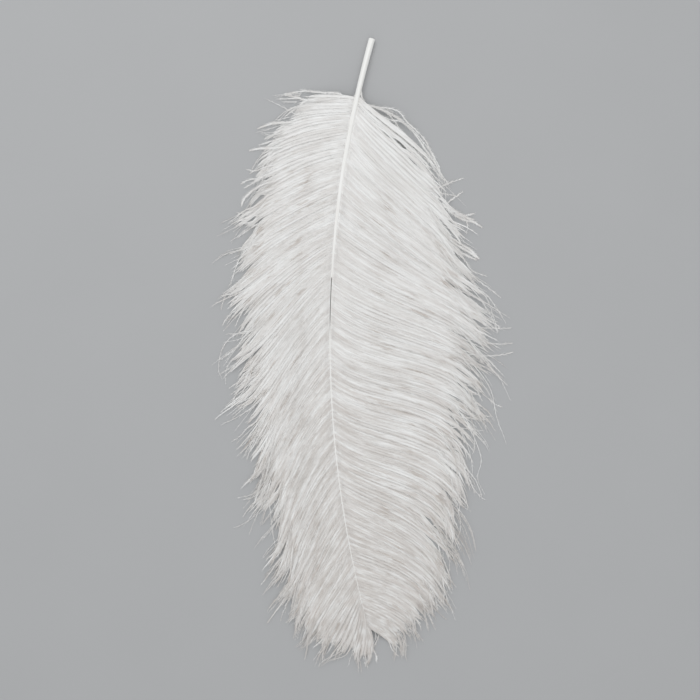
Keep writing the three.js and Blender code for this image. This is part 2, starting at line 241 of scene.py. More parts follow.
# Barbs that stray from the edges, each with its height at the start in mm, how downy it is, and its
# course in plan in mm
LOOSE_BARBS = [
    (8, 1, [(-2, 257), (-14, 261), (-29, 262), (-47, 264), (-59, 262), (-67, 261)]),
    (8, 1, [(-10, 256), (-30, 254), (-46, 255), (-54, 258), (-66, 260)]),
    (6, 0.8, [(-20, 255), (-38, 255), (-47, 253), (-56, 246), (-66, 238)]),
    (5, 0.1, [(-24, 233), (-42, 237), (-56, 241), (-68, 248), (-87, 257)]),
    (8.5, 1, [(11, 251), (16, 248), (28, 247), (44, 245), (52, 240), (58, 232), (67, 224), (75, 216),
                (80, 207), (85, 198), (90, 188), (92, 180), (100, 171)]),
    (7, 0.7, [(22, 242), (32, 238), (42, 234), (51, 233), (58, 228), (68, 218), (74, 208), (80, 200),
                (87, 190), (91, 177)]),
    (7, 0.2, [(26, 239), (43, 230), (56, 220), (74, 202), (85, 185), (96, 173)]),
    (2.5, 0.3, [(81, 166), (91, 167), (100, 171), (115, 176)]),
    (2.5, 0.2, [(91, 141), (99, 151), (107, 157), (114, 162)]),
    (2.5, 0.2, [(76, 165), (91, 161), (107, 158)]),
    (2, 0.2, [(111, 91), (127, 75), (140, 65), (154, 54)]),
    (2, 0.2, [(113, 77), (127, 65), (139, 57), (148, 45), (158, 29)]),
    (2, 0.2, [(119, 69), (131, 55), (137, 46), (144, 34), (149, 19)]),
    (2, 0.2, [(113, 30), (131, 25), (148, 24), (164, 24)]),
    (2, 0.2, [(117, 14), (135, 10), (152, 8), (165, 9)]),
    (2, 0.2, [(119, -2), (137, -4), (154, -3), (165, 0)]),
    (2, 0.2, [(121, 12), (135, -4), (143, -16), (151, -25)]),
    (2, 0.2, [(-89, -46), (-98, -55), (-106, -61), (-118, -68), (-131, -74)]),
    (2, 0.1, [(-66, -135), (-70, -140), (-81, -147), (-89, -157), (-99, -168), (-110, -175), (-118, -178)]),
    (2, 0.1, [(-68, -128), (-71, -137), (-77, -147), (-75, -165), (-72, -178), (-70, -190)]),
    (2, 0.2, [(-80, -130), (-83, -142), (-81, -158), (-79, -176), (-77, -190), (-72, -210)]),
    (2, 0.1, [(-94, -70), (-103, -76), (-111, -85), (-120, -91)]),
    (2, 0.1, [(-85, -115), (-92, -121), (-99, -129), (-106, -133)]),
    (2, 0.1, [(-84, -130), (-90, -135), (-99, -144), (-114, -148)]),
    (2, 0.1, [(-81, -133), (-88, -139), (-98, -147), (-110, -150)]),
    (2, 0.1, [(101, -60), (112, -78), (120, -98), (124, -120), (120, -138)]),
    (2, 0.1, [(104, -50), (118, -72), (128, -92), (133, -110), (129, -128), (137, -145)]),
    (2, 0.1, [(96, -92), (108, -108), (118, -126), (128, -142), (137, -150)]),
    (2, 0.1, [(96, -118), (104, -134), (110, -150), (119, -160)]),
    (2, 0.1, [(98, -140), (108, -156), (112, -176), (106, -198)]),
    (3.5, 1, [(-58, 232), (-68, 232), (-80, 231), (-94, 226)]),
    (3, 0.3, [(-68, 225), (-78, 220), (-86, 216)]),
    (3, 0.3, [(-66, 217), (-77, 214), (-93, 209)]),
    (3.5, 1, [(-68, 207), (-79, 206), (-90, 206), (-102, 204)]),
    (3, 0.3, [(-76, 206), (-82, 199), (-91, 188), (-102, 180)]),
    (3, 0.2, [(-78, 189), (-89, 186), (-97, 183), (-105, 185)]),
    (3, 0.3, [(-84, 180), (-93, 176), (-103, 174), (-111, 170)]),
    (3, 0.2, [(-88, 177), (-96, 172), (-107, 166)]),
    (3.5, 1, [(-78, 172), (-87, 170), (-99, 163), (-107, 155), (-110, 148)]),
    (3.5, 1, [(-76, 166), (-85, 163), (-96, 157), (-101, 149)]),
    (2.5, 0.2, [(-88, 138), (-99, 138), (-115, 141)]),
    (2.5, 0.1, [(-88, 127), (-99, 129), (-122, 132)]),
    (2.5, 0.2, [(-93, 130), (-101, 125), (-115, 115)]),
    (2.5, 0.4, [(-92, 110), (-104, 106), (-122, 99)]),
    (2.5, 0.1, [(-104, 104), (-113, 92), (-120, 72), (-122, 67)]),
    (2.5, 0.2, [(-106, 77), (-116, 68), (-126, 57), (-131, 42)]),
    (2.5, 0.2, [(-104, 54), (-113, 45), (-124, 35), (-129, 27)]),
    (2.5, 0.1, [(-98, 22), (-108, 19), (-126, 18)]),
    (2.5, 0.3, [(-99, 20), (-109, 10), (-121, 0), (-131, -8)]),
    (2.5, 0.1, [(-103, 8), (-111, -2), (-124, -14), (-126, -34)]),
    (2.5, 0.3, [(-98, -14), (-106, -27), (-116, -44), (-120, -56)]),
    (2.5, 0.2, [(-90, -40), (-99, -49), (-119, -67)]),
    (2.5, 1, [(91, 156), (100, 147), (112, 138), (126, 134)]),
    (2.5, 1, [(93, 151), (103, 141), (115, 134), (128, 131)]),
    (2.5, 0.8, [(95, 147), (104, 144), (114, 138), (126, 140)]),
    (2.5, 0.8, [(101, 143), (111, 140), (123, 133), (134, 126)]),
    (2.5, 0.1, [(106, 140), (115, 136), (119, 129), (118, 119)]),
    (2.5, 1, [(100, 117), (111, 110), (122, 103), (131, 94)]),
    (2.5, 1, [(101, 113), (112, 106), (121, 101), (129, 95)]),
    (2.5, 0.8, [(100, 107), (111, 101), (128, 93)]),
    (2.5, 0.2, [(107, 101), (116, 93), (124, 82), (138, 77)]),
    (2.5, 0.2, [(114, 72), (124, 66), (138, 55), (146, 33), (150, 19)]),
    (2.5, 0.1, [(118, -7), (130, -12), (149, -23), (163, -50)]),
    (2.5, 0.1, [(113, -18), (124, -26), (138, -37), (149, -61)]),
    (2.5, 0.2, [(112, -2), (120, -15), (128, -37), (134, -50)]),
    (7, 0.6, [(16, 250), (30, 246), (42, 237), (52, 223), (64, 206), (75, 189), (85, 171)]),
    (7, 0.6, [(16, 248), (28, 240), (40, 227), (54, 213), (69, 202), (81, 191), (92, 175)]),
    (7.5, 0.6, [(22, 248), (34, 243), (49, 235), (62, 226), (72, 215), (82, 202), (89, 186), (97, 169)]),
    (7, 0.4, [(16, 249), (26, 241), (34, 233), (46, 220), (60, 202), (71, 184)]),
    (7, 0.8, [(15, 251), (24, 242), (33, 235), (43, 227), (55, 213), (67, 198), (78, 181), (87, 167)]),
    (6.5, 1, [(16, 244), (22, 236), (31, 226), (41, 218), (51, 208), (62, 196), (75, 183), (83, 173)]),
    (7, 0.9, [(20, 248), (30, 245), (41, 241), (53, 233), (65, 221), (75, 207), (84, 194), (92, 181),
                (100, 169)]),
    (6, 1, [(18, 238), (28, 227), (39, 215), (49, 204), (60, 192), (72, 180), (82, 166)]),
    (7, 0.3, [(11, 265), (12.6, 256), (16.6, 250.5), (24, 248), (36, 246), (48, 241)]),
    (7, 0.2, [(10.8, 261), (12.8, 253), (16.3, 248), (22, 244), (32, 239), (42, 232)]),
    (7, 0.2, [(10.2, 257), (12.3, 250), (16.1, 244), (23, 238), (32, 230)]),
    (7, 0.3, [(6.6, 265), (5.5, 259.6), (2, 257.5), (-8, 257.5), (-22, 259), (-36, 261)]),
    (7, 0.3, [(6.4, 262), (4.5, 257.5), (0, 255.5), (-12, 255.5), (-28, 256), (-44, 257)]),
    (2.5, 0.2, [(22, -268), (29.2, -282), (26, -295), (17, -305)]),
    (2.5, 0.2, [(18, -270), (26, -286), (22, -300), (18, -314)]),
    (2.5, 0.2, [(30, -278), (38, -290), (43, -302), (49, -308)]),
    (2.5, 0.2, [(28, -275), (40, -288), (50, -300), (54, -307)]),
    (2.5, 0.2, [(24, -272), (33, -282), (44, -290), (58, -298)]),
    (2.5, 0.2, [(16, -276), (20, -295), (26, -306), (27, -314)]),
    (2, 0.1, [(5, -284), (11, -299), (16, -319)]),
    (2, 0.1, [(8, -284), (4, -299), (-2, -318)]),
    (2, 0.1, [(-3, -279), (-8, -295), (-12, -312)]),
    (2, 0.1, [(-14, -284), (-21, -295), (-31, -305)]),
    (2, 0.1, [(-28, -277), (-37, -290), (-43, -296)]),
    (2.5, 0.1, [(28, -275), (36, -284), (48, -305)]),
    (2.5, 0.1, [(40, -279), (48, -288), (58, -297)]),
    (2, 0.1, [(70, -245), (77, -259), (84, -275)]),
    (2, 0.1, [(80, -235), (86, -248), (89, -262)]),
    (2, 0.1, [(122, -10), (130, -19), (139, -32), (144, -43), (146, -54), (149, -68), (154, -81),
                (159, -95)]),
    (2, 0.1, [(124, -32), (133, -41), (146, -52), (154, -56)]),
    (2, 0.1, [(110, -50), (119, -56), (133, -64), (144, -65)]),
    (2, 0.1, [(112, -66), (122, -67), (140, -69)]),
    (2, 0.1, [(102, -76), (111, -77), (122, -78), (137, -80)]),
    (2, 0.1, [(122, -41), (128, -53), (135, -68), (139, -82)]),
    (2, 0.1, [(113, -62), (120, -72), (125, -83), (126, -96), (124, -104)]),
    (2, 0.1, [(-100, 21), (-110, 20), (-120, 15), (-128, 6), (-132, -6), (-133, -18), (-129, -29)]),
]


def srgb(code):
    """A hex colour as linear red, green and blue."""
    parts = [int(code[k:k + 2], 16) / 255 for k in (1, 3, 5)]
    return tuple(p / 12.92 if p <= 0.04045 else ((p + 0.055) / 1.055) ** 2.4 for p in parts)


def lerp(low, high, share):
    """The value a share of the way from low to high."""
    return low + (high - low) * share


def smoothstep(value, start, end):
    """0 before start and 1 after end, and 3s^2 - 2s^3 between them."""
    s = np.clip((value - start) / (end - start), 0, 1)
    return s * s * (3 - 2 * s)


def unit(vectors):
    """The same directions with a length of one."""
    return vectors / np.linalg.norm(vectors, axis=-1, keepdims=True)


def shaft_centre(y):
    """The shaft's middle line: x is a parabola of y about the bow's middle, and z falls from the arch's
    height by the square of the distance from the shaft's middle."""
    middle = (QUILL_END_Y + RACHIS_TIP_Y) / 2
    half = (QUILL_END_Y - RACHIS_TIP_Y) / 2
    x = BOW_MIDDLE_X + (y - BOW_MIDDLE_Y) ** 2 / (2 * BOW_RADIUS)
    z = lerp(ARCH_HEIGHT, QUILL_RADIUS, ((y - middle) / half) ** 2)
    return np.stack([x, y, z], axis=-1)


def shaft_radius(y):
    """Nearly even along the bare quill, then a straight taper down the rachis."""
    quill = lerp(RACHIS_RADIUS, QUILL_RADIUS, (y - VANE_START_Y) / (QUILL_END_Y - VANE_START_Y))
    rachis = lerp(RACHIS_RADIUS, RACHIS_TIP_RADIUS, (VANE_START_Y - y) / (VANE_START_Y - RACHIS_TIP_Y))
    return np.where(y > VANE_START_Y, quill, rachis)


def frames(courses):
    """Unit vectors along, across and up for each point of each course: across is level, to the right of
    travel, and up is square to both."""
    along = unit(np.gradient(courses, axis=-2))
    across = unit(np.cross(along, UP))
    return along, across, np.cross(across, along)


def shaft_frame(y):
    """The shaft's middle line, and unit vectors level across it and square up from it."""
    along = unit(shaft_centre(y - 1) - shaft_centre(y + 1))
    across = unit(np.cross(along, UP))
    return shaft_centre(y), across, np.cross(across, along)


def plan_shift():
    """How far the row's frame is from this plan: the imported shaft's middle, less the middle of the same
    ten-sided rings worked out here."""
    y = np.linspace(QUILL_END_Y, RACHIS_TIP_Y, SOLID_STATIONS)
    centre, across, up = shaft_frame(y)
    turn = (np.arange(SOLID_SIDES)[:, None, None] + 0.5) * 2 * np.pi / SOLID_SIDES
    rings = centre + shaft_radius(y)[:, None] * (across * np.cos(turn) + up * np.sin(turn))
    rings = rings.reshape(-1, 3)
    low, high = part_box("shaft")
    packed = np.array(low + high) / (2 * MM)
    shift = packed - (rings.min(axis=0) + rings.max(axis=0)) / 2
    return np.array([shift[0], shift[1], 0.0])


SHIFT = plan_shift()


def waves(table, place, share):
    """A slow uneven swell of about -1 to 1: the sum of sines whose columns in the table give the cycles
    along the rachis, the cycles along a barb and the phase, scaled down by the root of their number."""
    total = 0
    for cycles, turns, phase in table.T:
        total = total + np.sin(2 * np.pi * (cycles * place + turns * share + phase))
    return total / math.sqrt(table.shape[1])


def wave_table(rng, cycles, turns):
    """A table for the waves: cycles along the rachis, cycles along a barb, and phases."""
    return np.stack([rng.uniform(*cycles, SINES), rng.uniform(*turns, SINES), rng.uniform(0, 1, SINES)])


class Bundles:
    """Neighbouring barbs that gather: where each bundle starts and ends along the rachis, and what it
    has of its own. Its barbs' places close on the bundle's middle as they go outward."""

    def __init__(self, rng, count, uneven, reach, stray, opens, closes, wave):
        widths = rng.uniform(1 - uneven, 1 + uneven, count)
        self.edges = np.concatenate(([0], np.cumsum(widths) / widths.sum()))
        self.middle = (self.edges[:-1] + self.edges[1:]) / 2
        self.half = (self.edges[1:] - self.edges[:-1]) / 2
        self.reach = rng.uniform(*reach, count)
        self.stray = rng.uniform(-stray, stray, count)
        self.opens = rng.uniform(*opens, count)
        self.closes = rng.uniform(*closes, count)
        self.wave = rng.uniform(0.4, 1.0, count) * wave
        self.turns = rng.uniform(0.6, 1.4, count)
        self.phase = rng.uniform(0, 2 * np.pi, count)
        self.lift = rng.uniform(0, 1, count)

    def of(self, place):
        """The bundle that each place falls in."""
        found = np.searchsorted(self.edges, place, side="right") - 1
        return np.clip(found, 0, len(self.middle) - 1)

    def closing(self, which, share):
        """How far each barb's bundle has closed, from 0 to 1, at shares of the barb's length."""
        return smoothstep(share, self.opens[which][:, None], self.closes[which][:, None])


class Vane:
    """One side of the plume as a flow: the point that a barb from a place along the rachis has reached at
    a share of its length. A barb's heading is the parabola through its root, middle and tip angles, and
    its course is the running sum of short steps along that heading. It swells above its root as a
    sine and comes down to the surface as a smoothstep."""

    def __init__(self, name):
        self.side, table = SIDES[name]
        places = np.linspace(0, 1, FLOW_PLACES)
        shares = np.linspace(0, FLOW_REACH, FLOW_SHARES)
        rows = np.array(table, dtype=float).T
        length, root, middle, tip = (np.interp(places, rows[0], row)[:, None] for row in rows[1:])
        s = np.minimum(shares, 1.0)
        heading = root * (1 - s) * (1 - 2 * s) + middle * 4 * s * (1 - s) + tip * s * (2 * s - 1)
        heading = np.radians(heading)
        half_step = (heading[:, 1:] + heading[:, :-1]) / 2
        step = length * FLOW_REACH / (FLOW_SHARES - 1)
        outward = np.pad(np.cumsum(np.cos(half_step) * step, axis=1), ((0, 0), (1, 0)))
        down = np.pad(np.cumsum(np.sin(half_step) * step, axis=1), ((0, 0), (1, 0)))
        y = lerp(VANE_START_Y, RACHIS_TIP_Y, places)
        seen = np.minimum(np.interp(places, *SEEN_RACHIS), shaft_radius(y) * 0.97)
        roots = shaft_centre(y)
        root_height = roots[:, 2] + np.sqrt(shaft_radius(y) ** 2 - seen ** 2)
        raised = root_height[:, None] + PUFF * np.sin(np.pi * s)
        height = lerp(raised, REST_HEIGHT, smoothstep(shares, 0, LANDS_AT))
        x = (roots[:, 0] + self.side * seen)[:, None] + self.side * outward
        self.flow = np.stack([x, y[:, None] - down, height, heading, length + 0 * x], axis=-1)
        rng = np.random.default_rng(SEEDS["vane"] + self.side)
        self.locks = Bundles(rng, **LOCKS)
        self.strands = Bundles(rng, **STRANDS)
        self.drifts = wave_table(rng, cycles=(3, 17), turns=(0.3, 1.5))
        self.ripples = wave_table(rng, cycles=(25, 75), turns=(0.4, 1.8))
        self.tufts = Bundles(rng, **TUFTS)
        self.tufts.stray += TUFT_LEAN[name]
        self.edge_reach = EDGE_REACH[name]
        self.partings = [self.parting(*row) for row in PARTINGS[name]]

    def parting(self, x, y, half_width, half_length):
        """A gap in the flow's own measures: the place and share of its middle, at the nearest grid point,
        and half its width and length as shares of the rachis and of the barb there. The width is
        divided by how far apart, square to the barbs, two neighbouring grid lines are."""
        far = np.hypot(self.flow[1:-1, :, 0] - x, self.flow[1:-1, :, 1] - y)
        r, c = np.unravel_index(np.argmin(far), far.shape)
        _, _, _, heading, length = self.flow[r + 1, c]
        dx, dy = (self.flow[r + 2, c] - self.flow[r, c])[:2] / 2
        apart = abs(self.side * math.sin(heading) * dx + math.cos(heading) * dy) * (FLOW_PLACES - 1)
        share = c * FLOW_REACH / (FLOW_SHARES - 1)
        return (r + 1) / (FLOW_PLACES - 1), share, half_width / apart, half_length / length

    def parted(self, place, share):
        """Places pushed away from the middle of each gap: by half its width there, less with distance as
        an exponential, and less towards its ends as a parabola."""
        for middle, mid_share, half_width, half_length in self.partings:
            away = place - middle
            opened = half_width * np.clip(1 - ((share - mid_share) / half_length) ** 2, 0, 1)
            place = place + np.sign(away) * opened * np.exp(-np.abs(away) / (PARTING_SPREAD * half_width))
        return place

    def at(self, place, share):
        """The flow between its grid points, by bilinear mixing: points, heading and full length."""
        row = np.clip(place, 0, 1) * (FLOW_PLACES - 1)
        column = np.clip(share / FLOW_REACH, 0, 1) * (FLOW_SHARES - 1)
        r = np.minimum(row.astype(int), FLOW_PLACES - 2)
        c = np.minimum(column.astype(int), FLOW_SHARES - 2)
        u = (row - r)[..., None]
        v = (column - c)[..., None]
        near = lerp(self.flow[r, c], self.flow[r, c + 1], v)
        far = lerp(self.flow[r + 1, c], self.flow[r + 1, c + 1], v)
        mixed = lerp(near, far, u)
        return mixed[..., :3], mixed[..., 3], mixed[..., 4]

    def courses(self, rng, place, stations, start=0.0, reach=(0.86, 0.97), stray=4.0, lift=0.1, loose=1.0,
                comb=1.0, hairs=0.0, locks=None):
        """Barbs from their places to their tips. Each barb's place closes on its strand's middle and then
        on its lock's. Slow sine waves shared by neighbours bend it aside and lift it, and near its end
        it strays by a power of the share travelled. The first step is short, so that the root comes
        out of the rachis at once. A share of the barbs are longer hairs, which stray more."""
        count = len(place)
        locks = locks or self.locks
        strand = self.strands.of(place)
        lock = locks.of(self.strands.middle[strand])
        across = (place - locks.middle[lock]) / locks.half[lock]
        shared_reach = self.strands.reach[strand] * locks.reach[lock] * (1.03 - 0.08 * across ** 2)
        hair = rng.random(count) < hairs
        own_reach = rng.uniform(*reach, count) + hair * rng.uniform(0, HAIR_LONGER, count)
        own_reach = own_reach * lerp(1, shared_reach, loose)
        if locks is self.locks:
            own_reach = own_reach * np.interp(place, *self.edge_reach)
        steps = np.concatenate([[0, 0.008], np.linspace(0.05, 1, stations - 2)])
        share = lerp(start, own_reach[:, None], steps)
        strand_middle = self.strands.middle[strand][:, None]
        lock_middle = locks.middle[lock][:, None]
        to_strand = self.strands.closing(strand, share)
        to_strand = comb * (CLOSE_EARLY * smoothstep(share, 0.02, 0.15) + CLOSE_LATE * to_strand)
        moved = place[:, None] + to_strand * (strand_middle - place[:, None])
        moved = moved + loose * CLOSE_ON_LOCK * locks.closing(lock, share) * (lock_middle - strand_middle)
        points, heading, length = self.at(self.parted(moved, share), share)
        turn = rng.uniform(-stray, stray, count) * (1 + 4 * hair)
        turn = turn + locks.stray[lock] + self.strands.stray[strand]
        aside = loose * length * np.tan(np.radians(turn))[:, None] * share ** 6 / 3
        for bundle, which in ((locks, lock), (self.strands, strand)):
            swing = 2 * np.pi * share * bundle.turns[which][:, None] + bundle.phase[which][:, None]
            aside = aside + loose * bundle.wave[which][:, None] * share * np.sin(swing)
        aside = aside + DRIFT * share * waves(self.drifts, place[:, None], share)
        aside = FARTHEST_ASIDE * np.tanh(aside / FARTHEST_ASIDE)
        points = points.copy()
        points[..., 0] -= self.side * np.sin(heading) * aside
        points[..., 1] -= np.cos(heading) * aside
        crown = 1 - ((place[:, None] - strand_middle) / self.strands.half[strand][:, None]) ** 2
        rise = RIPPLE_RISE * waves(self.ripples, place[:, None], share) + STRAND_RISE * crown
        rise = rise + locks.lift[lock][:, None] * LOCK_RISE * smoothstep(share, 0.65, 0.85)
        rise = rise + rng.uniform(-lift, lift, count)[:, None]
        points[..., 2] += rise * smoothstep(share, 0, 0.12)
        points[:, 0, 2] -= ROOT_SUNK * (start == 0)
        points[..., 2] = np.maximum(points[..., 2], LOWEST)
        return points, share


def blades(courses, width, thickness, tilt):
    """Three-sided blades along courses: at each point a right edge, a ridge above and a left edge, turned
    about the course by tilt. The last point is the tip. Returns the rings and the tips."""
    _, across, up = frames(courses)
    cos = np.cos(tilt)[:, None, None]
    sin = np.sin(tilt)[:, None, None]
    side = across * cos + up * sin
    top = up * cos - across * sin
    half = (width / 2)[..., None]
    rise = thickness[..., None]
    right = courses + side * half - top * rise / 3
    ridge = courses + top * rise * 2 / 3
    left = courses - side * half - top * rise / 3
    rings = np.stack([right, ridge, left], axis=2)[:, :-1]
    return rings, courses[:, -1]


def blade_uv(share, place, strip):
    """A blade's unrolled place: u is the share of the barb's length and v the place along the rachis, with
    a strip's width between the blade's edges. The root's ridge is a hair behind its edges."""
    v = place[:, None, None] + strip * np.array([0.5, 0.0, -0.5, 0.5])
    u = np.repeat(share[:, :, None] / FLOW_REACH, 4, axis=2)
    u[:, 0, 1] -= 0.002
    uv = np.stack([u, v + 0 * u], axis=-1)
    tips = np.stack([share[:, -1] / FLOW_REACH, place], axis=-1)
    return uv[:, :-1], tips


def barbules(rng, courses, share, place, width, count, length, spread, down=None):
    """Short spikes that stand forward off the barbs on both sides, as long thin closed tetrahedra. Each
    grows at a random point of a random barb; its direction is the barb's, turned outward by a few
    degrees in plan and a little up or down. Returns rings, tips and their unrolled places."""
    barbs, stations = courses.shape[:2]
    along, across, up = frames(courses)
    chance = down if down is not None else np.linalg.norm(courses[:, -1] - courses[:, 0], axis=-1)
    barb = rng.choice(barbs, count, p=chance / chance.sum())
    spot = rng.beta(1.5, 1.1, count) * (stations - 1.3)
    near = spot.astype(int)
    mix = (spot - near)[:, None]
    base = lerp(courses[barb, near], courses[barb, near + 1], mix)
    forward, out, above = along[barb, near], across[barb, near], up[barb, near]
    hand = rng.choice((-1.0, 1.0), count)
    turn = np.radians(rng.uniform(*spread, count)) * hand
    rise = np.radians(rng.uniform(*BARBULE_RISE, count))
    heading = forward * (np.cos(turn) * np.cos(rise))[:, None]
    heading = heading + out * (np.sin(turn) * np.cos(rise))[:, None] + above * np.sin(rise)[:, None]
    along_barb = spot / (stations - 1)
    reach = rng.uniform(*length, count) * (1 - 0.55 * smoothstep(along_barb, 0.6, 1))
    base = base + out * (hand * width[barb, near] * 0.3)[:, None]
    tip = base + heading * reach[:, None]
    tip[:, 2] = np.maximum(tip[:, 2], LOWEST * 0.8)
    side = unit(np.cross(heading, UP))
    top = np.cross(side, heading)
    thick = rng.uniform(*BARBULE_HALF_WIDTH, count)[:, None]
    ring = np.stack([base + side * thick, base + top * thick * 0.6, base - side * thick], axis=1)
    u = lerp(share[barb, near], share[barb, near + 1], mix[:, 0]) / FLOW_REACH
    v = place[barb]
    right = np.stack([u, v + BARBULE_STRIP], axis=-1)
    behind = np.stack([u - BARBULE_STRIP, v], axis=-1)
    left = np.stack([u, v - BARBULE_STRIP], axis=-1)
    uv = np.stack([right, behind, left, right], axis=1)
    return ring[:, None], tip, uv[:, None], np.stack([u + BARBULE_UNROLLED, v], axis=-1)


def swept_faces(rings, sides):
    """The triangles of one swept form as (ring, column) pairs: two for each cell of the grid, a fan over
    the first ring, and a fan from the last ring to the tip. Column `sides` is column 0 again."""
    r, c = np.meshgrid(np.arange(rings - 1), np.arange(sides), indexing="ij")
    r, c = r.ravel(), c.ravel()
    first = np.stack([r, r + 1, r + 1], 1), np.stack([c, c, c + 1], 1)
    second = np.stack([r, r + 1, r], 1), np.stack([c, c + 1, c + 1], 1)
    k = np.arange(sides)
    last = np.full(sides, rings - 1)
    tip = np.stack([last, last + 1, last], 1), np.stack([k, 0 * k, k + 1], 1)
    j = np.arange(1, sides - 1)
    cap = np.zeros((sides - 2, 3), int), np.stack([0 * j, j, j + 1], 1)
    parts = (first, second, tip, cap)
    return np.concatenate([p[0] for p in parts]), np.concatenate([p[1] for p in parts])


def add_object(name, data):
    """A new object of the scene with this mesh, light or camera."""
    made = bpy.data.objects.new(name, data)
    bpy.context.scene.collection.objects.link(made)
    return made


def swept_mesh(name, rings, tips, uv, uv_tips, material, smooth=False):
    """One mesh of many swept forms. Each form has rings of points and a tip point, and is closed by a fan
    over its first ring; coordinates go from millimetres in plan to metres in the row's frame."""
    count, stations, sides = rings.shape[:3]
    points = np.concatenate([rings.reshape(count, -1, 3), tips[:, None]], axis=1)
    maps = np.concatenate([uv.reshape(count, -1, 2), uv_tips[:, None]], axis=1)
    ring, column = swept_faces(stations, sides)
    forms = np.arange(count)[:, None, None]
    vertex = (ring * sides + column % sides)[None] + forms * points.shape[1]
    corner = (ring * (sides + 1) + column)[None] + forms * maps.shape[1]
    vertex = vertex.reshape(-1)
    corner = corner.reshape(-1)
    faces = len(vertex) // 3
    mesh = bpy.data.meshes.new(name)
    mesh.vertices.add(points.shape[0] * points.shape[1])
    mesh.vertices.foreach_set("co", ((points.reshape(-1, 3) + SHIFT) * MM).ravel())
    mesh.loops.add(len(vertex))
    mesh.loops.foreach_set("vertex_index", vertex)
    mesh.polygons.add(faces)
    mesh.polygons.foreach_set("loop_start", np.arange(0, len(vertex), 3))
    mesh.polygons.foreach_set("use_smooth", np.full(faces, smooth))
    mesh.uv_layers.new(name=UNROLLED).data.foreach_set("uv", maps.reshape(-1, 2)[corner].ravel())
    mesh.update(calc_edges=True)
    mesh.materials.append(material)
    return add_object(name, mesh)


def add_node(tree, kind, inputs=None, **settings):
    """A node with its settings, and its inputs set to a value or linked to a socket."""
    made = tree.nodes.new(kind)
    for name, value in settings.items():
        setattr(made, name, value)
    for name, value in (inputs or {}).items():
        if isinstance(value, bpy.types.NodeSocket):
            tree.links.new(value, made.inputs[name])
        else:
            made.inputs[name].default_value = value
    return made


def new_material(name):
    """An empty node material and its tree."""
    material = bpy.data.materials.new(name)
    material.use_nodes = True
    material.node_tree.nodes.clear()
    return material, material.node_tree


def streaks(tree, along, across, low, high, shift=0.0, detail=2.0):
    """Soft streaks from 0 to 1 down the barbs: noise stretched along the unrolled vane, where along and
    across are the counts of noise cells over its length and width."""
    uv = add_node(tree, "ShaderNodeUVMap", uv_map=UNROLLED)
    placed = add_node(tree, "ShaderNodeMapping", {
        "Vector": uv.outputs["UV"], "Location": (shift, shift, 0), "Scale": (along, across, 1)})
    noise = add_node(tree, "ShaderNodeTexNoise", {
        "Vector": placed.outputs["Vector"], "Scale": 1.0, "Detail": detail, "Roughness": 0.5},
        noise_dimensions="2D")
    ranged = add_node(tree, "ShaderNodeMapRange", {
        "Value": noise.outputs["Fac"], "From Min": low, "From Max": high}, interpolation_type="SMOOTHSTEP")
    return ranged.outputs["Result"]


def ramp(tree, axis, start, end, low, high):
    """A soft change from low to high along the barbs (axis X) or down the plume (axis Y)."""
    uv = add_node(tree, "ShaderNodeUVMap", uv_map=UNROLLED)
    parts = add_node(tree, "ShaderNodeSeparateXYZ", {0: uv.outputs["UV"]})
    ranged = add_node(tree, "ShaderNodeMapRange", {
        "Value": parts.outputs[axis], "From Min": start, "From Max": end, "To Min": low, "To Max": high},
        interpolation_type="SMOOTHSTEP")
    return ranged.outputs["Result"]


def times(tree, first, second):
    """The product of two values or masks."""
    return add_node(tree, "ShaderNodeMath", {0: first, 1: second}, operation="MULTIPLY").outputs[0]


def tinted(tree, base, tint, mask, strength):
    """The base colour mixed towards a tint by a mask times a strength."""
    share = times(tree, mask, strength)
    mixed = add_node(tree, "ShaderNodeMix", {0: share, 6: base, 7: (*tint, 1)}, data_type="RGBA")
    return mixed.outputs[2]


def finish_surface(tree, inputs):
    """One surface with these inputs, set as the material's output."""
    surface = add_node(tree, "ShaderNodeBsdfPrincipled", inputs)
    add_node(tree, "ShaderNodeOutputMaterial", {"Surface": surface.outputs["BSDF"]})


